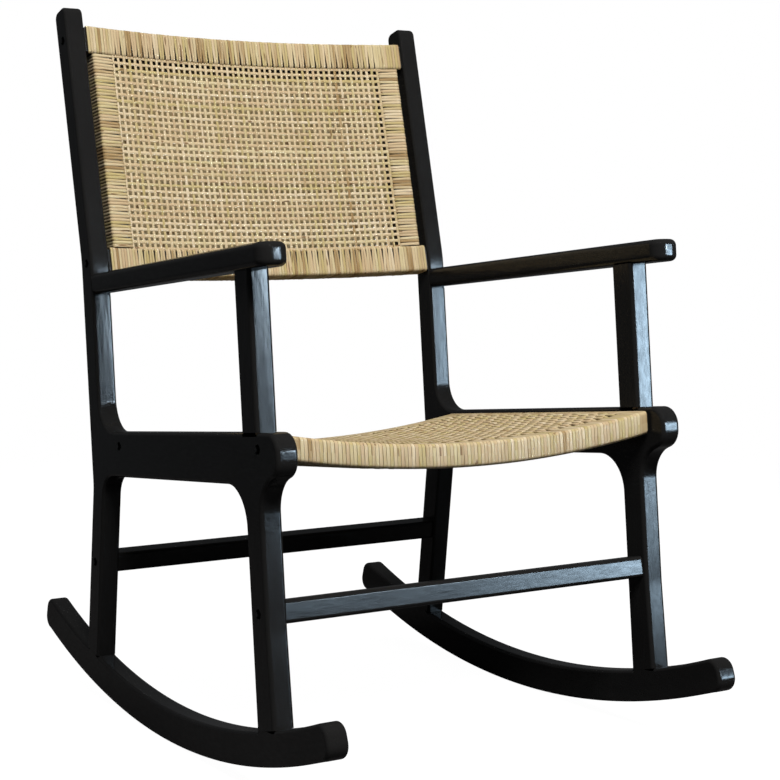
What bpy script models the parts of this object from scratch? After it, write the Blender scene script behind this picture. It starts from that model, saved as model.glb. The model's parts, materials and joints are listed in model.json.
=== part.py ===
"""Rattan rocking chair: lacquered side frames on rockers, a woven seat and a double caned back.

Metres, +Z up, front at -Y. Left and right are the sitter's, so left is +X.
A side frame is drawn in its own plane: depth runs back along the seat rails from the front of
the front leg, and rise is square to the rails, from their top. That plane is then tilted back.
"""
import math

import bmesh
import bpy
from mathutils import Euler, Matrix, Vector

# Side frames
INNER_WIDTH = 0.522
FRAME_T = 0.028
FRAME_EASE = 0.004
SEAT_TILT = math.radians(5.0)
LEG_W = 0.0405
POST_W = 0.038
POST_DEPTH = 0.494
RAIL_H = 0.0612
NOSE_REACH = 0.049
NOSE_H = 0.048
NOSE_R = 0.024
NOSE_FALL = 0.014
NOSE_FILLET = 0.042
LEG_FILLET = 0.050
RAIL_STUB = 0.056
POST_STUB = 0.046
POST_FILLET_UP = 0.044
POST_FILLET_LOW = 0.036

# Back posts above the arms and rear legs below the seat
BACK_LEAN = math.radians(8.5)
BACK_BEND = 0.236
BEND_R = 0.16
POST_LENGTH = 0.370
POST_TOP_R = 0.011
REAR_LEG_SPLAY = math.radians(13.3)
REAR_LEG_BEND = 0.072
REAR_LEG_LEAD = 0.003
REAR_LEG_R = 0.07

# Arms
ARM_RISE = 0.1873
ARM_T = 0.0285
ARM_EASE = 0.005
ARM_OVERHANG = 0.056
ARM_FLARE = 0.012
ARM_TIP_R = 0.017

# Rockers
ROCKER_R = 1.310
ROCKER_T = 0.0435
ROCKER_TAPER = 0.0068
ROCKER_CENTRE_DEPTH = 0.230
ROCKER_FACET = 0.046
ROCKER_REST = 0.080
ROCKER_FRONT_REACH = 0.133
ROCKER_REAR_REACH = 0.2255
ROCKER_TIP_R = 0.017
FRONT_LEG_LENGTH = 0.2828
FOOT_FLARE = 0.004
FOOT_FLARE_H = 0.110
FOOT_FLARE_R = 0.300

# Stretchers
STRETCHER_H = 0.0275
STRETCHER_D = 0.029
STRETCHER_R = 0.005
FRONT_STRETCHER_LEAN = -0.07
FRONT_STRETCHER_DROP = 0.209
REAR_STRETCHER_DROP = 0.183

# Woven seat and caned back
CANE_T = 0.003
CANE_END = 0.0035
SEAT_DROP = 0.004
SEAT_T = 0.030
SEAT_RAIL_D = 0.046
SEAT_LEAD = 0.023
SEAT_DEPTH = 0.471
SEAT_BOW = 0.024
SEAT_FOLD = 0.008
SEAT_BAR_W = 0.030
SEAT_BAR_INSET = 0.003
BACK_SETBACK = 0.0005
BACK_FOOT = 0.0195
BACK_T = 0.032
BACK_H = 0.3635
BACK_RAIL_H = 0.041
BACK_BOW = 0.024
BACK_FOLD = 0.006
STILE_W = 0.0315
STILE_GAP = 0.011
NET_COLUMNS = 14
NET_ROWS = 9
NET_STRAND = 0.012

# Fasteners
BOLT_D = 0.006
BOLT_HEAD_D = 0.010
BOLT_HEAD_H = 0.006
BOLT_REACH = 0.028
BOLT_KEY_D = 0.0058
BOLT_KEY_H = 0.003
COUNTERBORE = 0.0075
HEAD_CLEAR = 0.00075
DOWEL_D = 0.010
DOWEL_L = 0.040
RAIL_DOWEL_DROP = 0.042

# Fits and facets
FIT = 0.0003
SEAT_FIT = 0.0005
CUT_PAST = 0.004
ARC_STEP = math.radians(16)
ROUND_SIDES = 12
DOWEL_SIDES = 8
KEY_SIDES = 6
BOW_STEPS = 12
MERGE = 1e-6
SMOOTH_BELOW = math.radians(40)
SOLVE_STEPS = 8
SIDES = {"left": 1, "right": -1}

HALF_WIDTH = INNER_WIDTH / 2
FRAME_X = HALF_WIDTH + FRAME_T / 2


for leftover in list(bpy.data.objects):
    bpy.data.objects.remove(leftover, do_unlink=True)


def new_collection(name):
    collection = bpy.data.collections.new(name)
    bpy.context.scene.collection.children.link(collection)
    return collection


PARTS = new_collection("rattan_rocking_chair")
CUTTERS = new_collection("cutters")


def new_material(name, colour, roughness, metallic=0.0):
    material = bpy.data.materials.new(name)
    material.use_nodes = True
    shader = material.node_tree.nodes["Principled BSDF"]
    shader.inputs["Base Color"].default_value = (*colour, 1.0)
    shader.inputs["Roughness"].default_value = roughness
    shader.inputs["Metallic"].default_value = metallic
    return material


LACQUER = new_material("black_lacquer", (0.012, 0.012, 0.014), 0.25)
CANE = new_material("rattan_cane", (0.66, 0.52, 0.32), 0.55)
CORE_WOOD = new_material("core_wood", (0.03, 0.027, 0.025), 0.55)
DOWEL_WOOD = new_material("dowel_wood", (0.62, 0.47, 0.30), 0.6)
STEEL = new_material("bolt_steel", (0.05, 0.05, 0.055), 0.35, 1.0)


# Places in the side frame's plane

ROCKER_TOP_R = ROCKER_R - ROCKER_T


def rocker_top_centre():
    """Centre of the rockers' upper arc, which passes under the middle of the front leg."""
    depth = ROCKER_CENTRE_DEPTH - ROCKER_TAPER
    foot_rise = -(RAIL_H + FRONT_LEG_LENGTH)
    return Vector((depth, foot_rise + math.sqrt(ROCKER_TOP_R ** 2 - (LEG_W / 2 - depth) ** 2)))


ROCKER_TOP_C = rocker_top_centre()
ROCKER_C = ROCKER_TOP_C + Vector((ROCKER_TAPER, 0))
ROCKER_MID_R = ROCKER_R - ROCKER_T / 2


def on_arc(centre, radius, angle):
    """Point of an arc in the frame's plane; the angle is from straight down, towards the back."""
    return Vector((centre.x + radius * math.sin(angle), centre.y - radius * math.cos(angle)))


def rocker_top(depth):
    return ROCKER_TOP_C.y - math.sqrt(ROCKER_TOP_R ** 2 - (depth - ROCKER_TOP_C.x) ** 2)


def low_reach(angle):
    """Distance of the lower arc from its own centre."""
    return ROCKER_R


def top_reach(angle):
    """Distance of the upper arc from the lower arc's centre: the rocker thickens to the rear."""
    nearer = -ROCKER_TAPER * math.sin(angle)
    return nearer + math.sqrt(ROCKER_TOP_R ** 2 - ROCKER_TAPER ** 2 + nearer ** 2)


ROCKER_FRONT_ANGLE = math.asin((-ROCKER_FRONT_REACH + ROCKER_T / 2 - ROCKER_C.x) / ROCKER_MID_R)
ROCKER_REAR_ANGLE = math.asin(
    (POST_DEPTH + POST_W + ROCKER_REAR_REACH - ROCKER_T / 2 - ROCKER_C.x) / ROCKER_MID_R)
FACET_ANGLE = 2 * math.asin(ROCKER_FACET / 2 / ROCKER_R)
REST_ANGLE = 2 * math.asin(ROCKER_REST / 2 / ROCKER_R)


def tilted(point):
    """Frame-plane point as (y, z) before the part is set on the floor."""
    sine, cosine = math.sin(SEAT_TILT), math.cos(SEAT_TILT)
    return Vector((point.x * cosine + point.y * sine, point.y * cosine - point.x * sine))


def rocker_outline():
    """Two arcs with blunt ends; a longer flat of the lower arc lies on the floor."""

    def flats(reach, start, end):
        """An arc parted into even flats."""
        count = max(1, math.ceil((end - start) / FACET_ANGLE))
        angles = [start + (end - start) * k / count for k in range(count + 1)]
        return [on_arc(ROCKER_C, reach(angle), angle) for angle in angles]

    def tip(angle, side):
        """Blunt end with round corners, from the lower arc to the upper one."""
        out = on_arc(Vector((0, 0)), 1, angle)
        along = side * Vector((-out.y, out.x))
        half = (ROCKER_R - top_reach(angle)) / 2
        inset = half - ROCKER_TIP_R
        steps = math.ceil(math.pi / 2 / ARC_STEP)
        turns = [math.pi / 2 * k / steps for k in range(steps + 1)]
        corner = on_arc(ROCKER_C, ROCKER_R - half, angle) + along * inset
        low = [corner + out * (inset + ROCKER_TIP_R * math.cos(turn))
               + along * ROCKER_TIP_R * math.sin(turn) for turn in turns]
        high = [corner - out * (inset + ROCKER_TIP_R * math.sin(turn))
                + along * ROCKER_TIP_R * math.cos(turn) for turn in turns]
        return low + high

    outer = flats(low_reach, ROCKER_FRONT_ANGLE, SEAT_TILT - REST_ANGLE / 2)
    outer += flats(low_reach, SEAT_TILT + REST_ANGLE / 2, ROCKER_REAR_ANGLE)
    inner = flats(top_reach, ROCKER_FRONT_ANGLE, ROCKER_REAR_ANGLE)
    return outer + tip(ROCKER_REAR_ANGLE, 1) + inner[::-1] + tip(ROCKER_FRONT_ANGLE, -1)[::-1]


ROCKER_OUTLINE = rocker_outline()
FRONT_TIP = min(tilted(point).x for point in ROCKER_OUTLINE)
REAR_TIP = max(tilted(point).x for point in ROCKER_OUTLINE)
FLOOR = tilted(ROCKER_C).y - ROCKER_R * math.cos(REST_ANGLE / 2)


def new_empty(name, parent=None, location=(0, 0, 0), turn_x=0.0):
    empty = bpy.data.objects.new(name, None)
    PARTS.objects.link(empty)
    empty.parent = parent
    empty.location = location
    empty.rotation_euler.x = turn_x
    return empty


FRAME_PLANE = new_empty("frame_plane", None, (0, -(FRONT_TIP + REAR_TIP) / 2, -FLOOR), -SEAT_TILT)
BACK_PLANE = new_empty("back_plane", FRAME_PLANE, (0, POST_DEPTH, BACK_BEND), -BACK_LEAN)

# Turns from an outline's own plane: across the chair, along its depth, or up the back
FACE_SIDE = Euler((math.pi / 2, 0, math.pi / 2))
FACE_FRONT = Euler((math.pi / 2, 0, 0))
FACE_UP = Euler((0, 0, 0))


# Shapes

def rounded(corners):
    """Outline from (x, y, radius, joint) corners, and for each of its sides whether it is a joint."""
    points, joints = [], []
    count = len(corners)
    for index, (x, y, radius, joint) in enumerate(corners):
        here = Vector((x, y))
        before = (Vector(corners[index - 1][:2]) - here).normalized()
        after = (Vector(corners[(index + 1) % count][:2]) - here).normalized()
        if radius > 0:
            half = math.acos(max(-1.0, min(1.0, before.dot(after)))) / 2
            middle = here + (before + after).normalized() * (radius / math.sin(half))
            start = here + before * (radius / math.tan(half)) - middle
            sweep = math.pi - 2 * half
            turn = 1 if before.cross(after) < 0 else -1
            steps = max(2, math.ceil(sweep / ARC_STEP))
            for step in range(steps + 1):
                angle = turn * sweep * step / steps
                points.append(middle + Matrix.Rotation(angle, 2) @ start)
                joints.append(False)
        else:
            points.append(here)
            joints.append(False)
        joints[-1] = joint
    return points, joints


def add_part(name, mesh, material, parent, collection=None):
    body = bpy.data.objects.new(name, mesh)
    (collection or PARTS).objects.link(body)
    body.parent = parent
    if not mesh.materials:
        mesh.materials.append(material)
    if collection is CUTTERS:
        body.hide_render = True
        body.display_type = "WIRE"
    return body


def board_mesh(name, outline, thickness, joints):
    """Mesh of a flat outline of this thickness, with its free edges marked to be eased."""
    curve = bpy.data.curves.new(name, "CURVE")
    curve.dimensions = "2D"
    curve.fill_mode = "BOTH"
    curve.extrude = thickness / 2
    spline = curve.splines.new("POLY")
    spline.points.add(len(outline) - 1)
    for spot, point in zip(spline.points, outline):
        spot.co = (point.x, point.y, 0, 1)
    spline.use_cyclic_u = True
    drawn = bpy.data.objects.new(name + "_outline", curve)
    CUTTERS.objects.link(drawn)
    evaluated = drawn.evaluated_get(bpy.context.evaluated_depsgraph_get())
    mesh = bpy.data.meshes.new_from_object(evaluated)
    mesh.name = name
    bpy.data.objects.remove(drawn)

    shape = bmesh.new()
    shape.from_mesh(mesh)
    bmesh.ops.remove_doubles(shape, verts=shape.verts, dist=MERGE)
    bmesh.ops.recalc_face_normals(shape, faces=shape.faces)
    inside_caps = [edge for edge in shape.edges
                   if all(abs(face.normal.z) > 0.999 for face in edge.link_faces)]
    bmesh.ops.dissolve_edges(shape, edges=inside_caps, use_verts=False)
    ease = shape.edges.layers.float.new("bevel_weight_edge")
    fixed = [(outline[i] + outline[(i + 1) % len(outline)]) / 2
             for i, joint in enumerate(joints) if joint]
    for edge in shape.edges:
        low, high = (vert.co for vert in edge.verts)
        if abs(low.z - high.z) < MERGE:
            middle = ((low + high) / 2).xy
            edge[ease] = 0.0 if any((middle - spot).length < MERGE for spot in fixed) else 1.0
    shape.to_mesh(mesh)
    shape.free()
    return mesh


def board(name, shape, thickness, material, parent, place=(0, 0, 0), facing=FACE_SIDE, ease=0.0,
          segments=1, collection=None):
    """A flat piece cut to an outline, its free edges eased."""
    outline, joints = shape
    body = add_part(name, board_mesh(name, outline, thickness, joints), material, parent, collection)
    body.location = place
    body.rotation_euler = facing
    if ease > 0:
        bevel = body.modifiers.new("ease", "BEVEL")
        bevel.width = ease
        bevel.segments = segments
        bevel.limit_method = "WEIGHT"
        bevel.use_clamp_overlap = False
    return body


def cut(body, cutter):
    boolean = body.modifiers.new("cut_" + cutter.name, "BOOLEAN")
    boolean.operation = "DIFFERENCE"
    boolean.object = cutter


def turned_mesh(name, profile, sides):
    """Round mesh about Z from (radius, height) points that run from the top down."""
    mesh = bpy.data.meshes.new(name + "_profile")
    mesh.from_pydata([(radius, 0, height) for radius, height in profile],
                     [(i, i + 1) for i in range(len(profile) - 1)], [])
    body = bpy.data.objects.new(name + "_turning", mesh)
    CUTTERS.objects.link(body)
    screw = body.modifiers.new("turn", "SCREW")
    screw.steps = sides
    screw.render_steps = sides
    screw.use_merge_vertices = True
    screw.merge_threshold = MERGE
    evaluated = body.evaluated_get(bpy.context.evaluated_depsgraph_get())
    turned = bpy.data.meshes.new_from_object(evaluated)
    turned.name = name
    bpy.data.objects.remove(body)
    turned.shade_smooth()
    turned.set_sharp_from_angle(angle=SMOOTH_BELOW)
    return turned


def turned_part(name, mesh, material, parent, place, direction, collection=None):
    body = add_part(name, mesh, material, parent, collection)
    body.location = place
    body.rotation_euler = Vector(direction).to_track_quat("Z", "Y").to_euler()
    return body


# Side frames

def rear_post_shape():
    back = Vector((math.sin(BACK_LEAN), math.cos(BACK_LEAN)))
    across = Vector((math.cos(BACK_LEAN), -math.sin(BACK_LEAN)))
    leg = math.tan(REAR_LEG_SPLAY)
    rear = POST_DEPTH + POST_W
    top_front = Vector((POST_DEPTH, BACK_BEND)) + back * POST_LENGTH
    top_rear = top_front + across * POST_W
    bend_rear = BACK_BEND + POST_W * math.tan(BACK_LEAN / 2)
    leg_rear = -REAR_LEG_BEND - POST_W * math.tan(REAR_LEG_SPLAY / 2)

    def foot(front_depth, start_rise):
        """Where a leg edge that starts here meets the rocker's top."""
        spot = Vector((front_depth, start_rise))
        for _ in range(SOLVE_STEPS):
            rise = rocker_top(spot.x) + SEAT_FIT
            spot = Vector((front_depth + (start_rise - rise) * leg, rise))
        return spot

    foot_front = foot(POST_DEPTH - REAR_LEG_LEAD, -REAR_LEG_BEND)
    foot_rear = foot(rear, leg_rear)
    stub = POST_DEPTH - POST_STUB
    return rounded([
        (foot_front.x, foot_front.y, 0, False),
        (POST_DEPTH - REAR_LEG_LEAD + (RAIL_H - REAR_LEG_BEND) * leg, -RAIL_H, POST_FILLET_LOW, False),
        (stub, -RAIL_H, 0, True),
        (stub, 0, 0, False),
        (POST_DEPTH, 0, min(POST_FILLET_UP, POST_STUB), False),
        (POST_DEPTH, ARM_RISE, 0, True),
        (POST_DEPTH, ARM_RISE + ARM_T, 0, False),
        (POST_DEPTH, BACK_BEND, BEND_R, False),
        (top_front.x, top_front.y, POST_TOP_R, False),
        (top_rear.x, top_rear.y, POST_TOP_R, False),
        (rear, bend_rear, BEND_R, False),
        (rear, leg_rear, REAR_LEG_R, False),
        (foot_rear.x, foot_rear.y, 0, True),
    ])


def side_rail_shape():
    rear = POST_DEPTH - POST_STUB - FIT
    stub = -RAIL_H - RAIL_STUB
    return rounded([
        (rear, 0, 0, False),
        (LEG_W, 0, 0, True),
        (0, 0, 0, False),
        (-NOSE_REACH, 0, NOSE_R, False),
        (-NOSE_REACH, -NOSE_H, NOSE_R, False),
        (0, -NOSE_H - NOSE_FALL, NOSE_FILLET, False),
        (0, stub, 0, True),
        (LEG_W, stub, 0, False),
        (LEG_W, -RAIL_H, LEG_FILLET, False),
        (rear, -RAIL_H, 0, True),
    ])


def front_leg_shape():
    top = -RAIL_H - RAIL_STUB - FIT
    front = rocker_top(-FOOT_FLARE) + SEAT_FIT
    rear = rocker_top(LEG_W) + SEAT_FIT
    return rounded([
        (0, top, 0, False),
        (0, front + FOOT_FLARE_H, FOOT_FLARE_R, False),
        (-FOOT_FLARE, front, 0, True),
        (LEG_W, rear, 0, False),
        (LEG_W, top, 0, True),
    ])


def arm_post_shape():
    top = ARM_RISE - FIT
    return rounded([(0, FIT, 0, False), (0, top, 0, True), (LEG_W, top, 0, False),
                    (LEG_W, FIT, 0, True)])


def rocker_shape():
    return ROCKER_OUTLINE, [False] * len(ROCKER_OUTLINE)


def armrest_shape(side):
    """Plan of an armrest: straight inside, flaring outwards to its rounded front."""
    inner = side * HALF_WIDTH
    rear_outer = side * (HALF_WIDTH + FRAME_T)
    front_outer = side * (HALF_WIDTH + FRAME_T + ARM_FLARE)
    rear = POST_DEPTH - FIT
    return rounded([
        (inner, rear, 0, False),
        (inner, -ARM_OVERHANG, ARM_TIP_R, False),
        (front_outer, -ARM_OVERHANG, ARM_TIP_R, False),
        (rear_outer, rear, 0, True),
    ])


FRAME_PIECES = {}
for side_name, side in SIDES.items():
    middle = (side * FRAME_X, 0, 0)
    for piece, shape in (("rear_post", rear_post_shape()), ("side_rail", side_rail_shape()),
                         ("front_leg", front_leg_shape()), ("arm_post", arm_post_shape()),
                         ("rocker", rocker_shape())):
        FRAME_PIECES[side_name, piece] = board(f"{side_name}_{piece}", shape, FRAME_T, LACQUER,
                                               FRAME_PLANE, middle, ease=FRAME_EASE, segments=2)
    FRAME_PIECES[side_name, "armrest"] = board(
        f"{side_name}_armrest", armrest_shape(side), ARM_T, LACQUER, FRAME_PLANE,
        (0, 0, ARM_RISE + ARM_T / 2), FACE_UP, ARM_EASE, 2)


# Cross members

def stretcher_shape():
    half_d, half_h = STRETCHER_D / 2, STRETCHER_H / 2
    return rounded([(x * half_d, y * half_h, STRETCHER_R, False)
                    for x, y in ((-1, -1), (-1, 1), (1, 1), (1, -1))])


def rear_leg_middle(drop):
    """Middle of the rear leg at this distance below the rails' top."""
    front = POST_DEPTH - REAR_LEG_LEAD + (drop - REAR_LEG_BEND) * math.tan(REAR_LEG_SPLAY)
    return Vector((front + (POST_W + REAR_LEG_LEAD) / 2 / math.cos(REAR_LEG_SPLAY), -drop))


FRONT_STRETCHER_AT = Vector((LEG_W / 2, -FRONT_STRETCHER_DROP))
REAR_STRETCHER_AT = rear_leg_middle(REAR_STRETCHER_DROP)
CROSS_LENGTH = INNER_WIDTH - 2 * FIT

front_stretcher = board("front_stretcher", stretcher_shape(), CROSS_LENGTH, LACQUER, FRAME_PLANE,
                        (0, *FRONT_STRETCHER_AT))
rear_stretcher = board("rear_stretcher", stretcher_shape(), CROSS_LENGTH, LACQUER, FRAME_PLANE,
                       (0, *REAR_STRETCHER_AT))
for bar, lean in ((front_stretcher, FRONT_STRETCHER_LEAN), (rear_stretcher, REAR_LEG_SPLAY)):
    bar.rotation_euler = (Matrix.Rotation(lean, 3, "X") @ FACE_SIDE.to_matrix()).to_euler()


def dip(bow, x):
    """How far a bowed piece stands back at this distance from the chair's middle."""
    return bow * (1 - (x / HALF_WIDTH) ** 2)


def bowed(bow, left, right, thickness):
    """Outline of a bar across the chair that is bowed in the middle."""
    steps = max(2, math.ceil(BOW_STEPS * (right - left) / INNER_WIDTH))
    spots = [left + (right - left) * k / steps for k in range(steps + 1)]
    outline = [Vector((x, dip(bow, x) - thickness / 2)) for x in spots]
    outline += [Vector((x, dip(bow, x) + thickness / 2)) for x in reversed(spots)]
    joints = [False] * len(outline)
    joints[steps] = True
    joints[-1] = True
    return outline, joints


# Seat: rails and bars inside one woven sleeve
SEAT_MID = -SEAT_DROP - SEAT_T / 2
WOOD_SKIN = CANE_T + FIT
CANE_HALF = HALF_WIDTH - CANE_END
SEAT_WOOD_H = SEAT_T - 2 * WOOD_SKIN
SEAT_WOOD_D = SEAT_RAIL_D - 2 * WOOD_SKIN
SEAT_FRONT_AT = SEAT_RAIL_D / 2 - SEAT_LEAD
SEAT_REAR_AT = SEAT_DEPTH - SEAT_LEAD - SEAT_RAIL_D / 2


def seat_rail(name, depth):
    return board(name, bowed(-SEAT_BOW, -CROSS_LENGTH / 2, CROSS_LENGTH / 2, SEAT_WOOD_H), SEAT_WOOD_D,
                 CORE_WOOD, FRAME_PLANE, (0, depth, SEAT_MID), FACE_FRONT)


seat_front_rail = seat_rail("seat_front_rail", SEAT_FRONT_AT)
seat_rear_rail = seat_rail("seat_rear_rail", SEAT_REAR_AT)
bar_length = SEAT_REAR_AT - SEAT_FRONT_AT - SEAT_WOOD_D - 2 * FIT
bar_outer = CANE_HALF - SEAT_BAR_INSET
for side_name, side in SIDES.items():
    ends = sorted((side * bar_outer, side * (bar_outer - SEAT_BAR_W)))
    board(f"seat_{side_name}_bar", bowed(-SEAT_BOW, *ends, SEAT_WOOD_H), bar_length, CORE_WOOD,
          FRAME_PLANE, (0, (SEAT_FRONT_AT + SEAT_REAR_AT) / 2, SEAT_MID), FACE_FRONT)

seat_middle = (0, SEAT_DEPTH / 2 - SEAT_LEAD, SEAT_MID)
seat_weave = board("seat_weave", bowed(-SEAT_BOW, -CANE_HALF, CANE_HALF, SEAT_T), SEAT_DEPTH, CANE,
                   FRAME_PLANE, seat_middle, FACE_FRONT, SEAT_FOLD, 2)
seat_hollow = board("seat_hollow", bowed(-SEAT_BOW, -HALF_WIDTH, HALF_WIDTH, SEAT_T - 2 * CANE_T),
                    SEAT_DEPTH - 2 * CANE_T, CANE, FRAME_PLANE, seat_middle, FACE_FRONT,
                    collection=CUTTERS)
cut(seat_weave, seat_hollow)


# Back: two rails and two stiles, each in a cane winding, with a net of cane in front and behind
BACK_MID = BACK_SETBACK + BACK_T / 2
BACK_WOOD_T = BACK_T - 2 * WOOD_SKIN
BACK_RAIL_AT = {"bottom": BACK_RAIL_H / 2 - BACK_FOOT, "top": BACK_H - BACK_RAIL_H / 2 - BACK_FOOT}
BACK_MIDDLE = (0, BACK_MID, BACK_H / 2 - BACK_FOOT)
BACK_OPENING = BACK_H - 2 * BACK_RAIL_H
STILE_OUTER = HALF_WIDTH - STILE_GAP
STILE_INNER = STILE_OUTER - STILE_W


def back_band(half_width, thickness):
    return bowed(BACK_BOW, -half_width, half_width, thickness)


def stile_shape(side, skin):
    """Section of a stile, or of its winding's hollow, set in from the winding by a skin."""
    inner, outer = side * (STILE_INNER + skin), side * (STILE_OUTER - skin)
    half = BACK_T / 2 - skin
    radius = max(BACK_FOLD - skin, FIT)
    return rounded([(x, dip(BACK_BOW, x) + y, radius, False)
                    for x, y in ((inner, -half), (outer, -half), (outer, half), (inner, half))])


def winding(name, outer, height, inner, inner_height, place, ease):
    """Cane wound on a bar of the back: a sleeve that is open at the bar's ends."""
    sleeve = board(name, outer, height, CANE, BACK_PLANE, place, FACE_UP, ease, 2)
    hollow = board(name + "_hollow", inner, inner_height, CANE, BACK_PLANE, place, FACE_UP,
                   collection=CUTTERS)
    cut(sleeve, hollow)


BACK_RAILS = {}
for level, rise in BACK_RAIL_AT.items():
    place = (0, BACK_MID, rise)
    BACK_RAILS[level] = board(f"back_{level}_rail", back_band(HALF_WIDTH - FIT, BACK_WOOD_T),
                              BACK_RAIL_H - 2 * WOOD_SKIN, CORE_WOOD, BACK_PLANE, place, FACE_UP)
    winding(f"back_{level}_winding", back_band(CANE_HALF, BACK_T), BACK_RAIL_H,
            back_band(HALF_WIDTH, BACK_T - 2 * CANE_T), BACK_RAIL_H - 2 * CANE_T, place, BACK_FOLD)
for side_name, side in SIDES.items():
    length = BACK_OPENING - 2 * FIT
    board(f"back_{side_name}_stile", stile_shape(side, WOOD_SKIN), length, CORE_WOOD, BACK_PLANE,
          BACK_MIDDLE, FACE_UP)
    winding(f"back_{side_name}_winding", stile_shape(side, 0), length, stile_shape(side, CANE_T),
            length + 2 * CUT_PAST, BACK_MIDDLE, 0)


def cane_net(name, offset):
    """Open net of crossing cane bands that follows the bow of the back."""
    columns, rows = 2 * NET_COLUMNS + 1, 2 * NET_ROWS + 1
    width = 2 * (STILE_INNER - FIT)
    height = BACK_OPENING - 2 * FIT

    def line(index, cells, total):
        """Place of a band's edge: bands and gaps take turns across the opening."""
        gap = (total - (cells + 1) * NET_STRAND) / cells
        return (index + 1) // 2 * NET_STRAND + index // 2 * gap - total / 2

    shape = bmesh.new()
    bmesh.ops.create_grid(shape, x_segments=columns, y_segments=rows, size=1)
    for face in list(shape.faces):
        middle = face.calc_center_median()
        column = math.floor((middle.x + 1) / 2 * columns)
        row = math.floor((middle.y + 1) / 2 * rows)
        if column % 2 and row % 2:
            shape.faces.remove(face)
    for vert in shape.verts:
        x = line(round((vert.co.x + 1) / 2 * columns), NET_COLUMNS, width)
        rise = line(round((vert.co.y + 1) / 2 * rows), NET_ROWS, height)
        vert.co = (x, dip(BACK_BOW, x) + offset, rise)
    mesh = bpy.data.meshes.new(name)
    shape.to_mesh(mesh)
    shape.free()
    net = add_part(name, mesh, CANE, BACK_PLANE)
    net.location = BACK_MIDDLE
    solidify = net.modifiers.new("cane", "SOLIDIFY")
    solidify.thickness = CANE_T
    solidify.offset = 0


# The nets lie where the folds of the windings end
NET_OFFSET = BACK_T / 2 - BACK_FOLD + CANE_T / 2
cane_net("back_front_cane", -NET_OFFSET)
cane_net("back_rear_cane", NET_OFFSET)


# Bolts: head in a counterbore of the side frame, shank into the end of a cross member
BOLT_L = FRAME_T - COUNTERBORE + BOLT_REACH


def keyed_bolt_mesh():
    seat, top = -FIT, -FIT - BOLT_HEAD_H
    blank = turned_part("bolt_blank", turned_mesh("bolt", [
        (0, BOLT_L), (BOLT_D / 2, BOLT_L), (BOLT_D / 2, seat), (BOLT_HEAD_D / 2, seat),
        (BOLT_HEAD_D / 2, top), (0, top)], ROUND_SIDES), STEEL, None, (0, 0, 0), (0, 0, 1), CUTTERS)
    key = turned_part("bolt_key", turned_mesh("bolt_key", [
        (0, top + BOLT_KEY_H), (BOLT_KEY_D / 2, top + BOLT_KEY_H), (BOLT_KEY_D / 2, top - CUT_PAST),
        (0, top - CUT_PAST)], KEY_SIDES), STEEL, None, (0, 0, 0), (0, 0, 1), CUTTERS)
    cut(blank, key)
    mesh = bpy.data.meshes.new_from_object(
        blank.evaluated_get(bpy.context.evaluated_depsgraph_get()))
    bpy.data.objects.remove(blank)
    bpy.data.objects.remove(key)
    return mesh


BOLT_MESH = keyed_bolt_mesh()
BOLT_BORE = turned_mesh("bolt_bore", [
    (0, BOLT_L + FIT), (BOLT_D / 2 + FIT, BOLT_L + FIT), (BOLT_D / 2 + FIT, 0),
    (BOLT_HEAD_D / 2 + HEAD_CLEAR, 0), (BOLT_HEAD_D / 2 + HEAD_CLEAR, -COUNTERBORE - CUT_PAST),
    (0, -COUNTERBORE - CUT_PAST)], ROUND_SIDES)
BOLTED = (
    ("back_top", ["rear_post"], BACK_RAILS["top"], BACK_PLANE, (BACK_MID, BACK_RAIL_AT["top"])),
    ("back_bottom", ["rear_post"], BACK_RAILS["bottom"], BACK_PLANE,
     (BACK_MID, BACK_RAIL_AT["bottom"])),
    ("seat_front", ["side_rail"], seat_front_rail, FRAME_PLANE, (SEAT_FRONT_AT, SEAT_MID)),
    ("seat_rear", ["side_rail", "rear_post"], seat_rear_rail, FRAME_PLANE, (SEAT_REAR_AT, SEAT_MID)),
    ("front_stretcher", ["side_rail", "front_leg"], front_stretcher, FRAME_PLANE, FRONT_STRETCHER_AT),
    ("rear_stretcher", ["rear_post"], rear_stretcher, FRAME_PLANE, REAR_STRETCHER_AT),
)
for side_name, side in SIDES.items():
    head_x = side * (HALF_WIDTH + FRAME_T - COUNTERBORE)
    inwards = (-side, 0, 0)
    for spot, frame_pieces, member, plane, at in BOLTED:
        name = f"{side_name}_{spot}_bolt"
        turned_part(name, BOLT_MESH, STEEL, plane, (head_x, *at), inwards)
        bore = turned_part(name + "_bore", BOLT_BORE, STEEL, plane, (head_x, *at), inwards, CUTTERS)
        cut(member, bore)
        for piece in frame_pieces:
            cut(FRAME_PIECES[side_name, piece], bore)


# Dowels in the glued joints of the side frames

def rod_mesh(name, radius, length):
    return turned_mesh(name, [(0, length / 2), (radius, length / 2), (radius, -length / 2),
                              (0, -length / 2)], DOWEL_SIDES)


def rear_foot():
    """Middle of the rear leg where it stands on the rocker."""
    drop = FRONT_LEG_LENGTH
    for _ in range(SOLVE_STEPS):
        drop = -rocker_top(rear_leg_middle(drop).x)
    return rear_leg_middle(drop)


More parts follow.
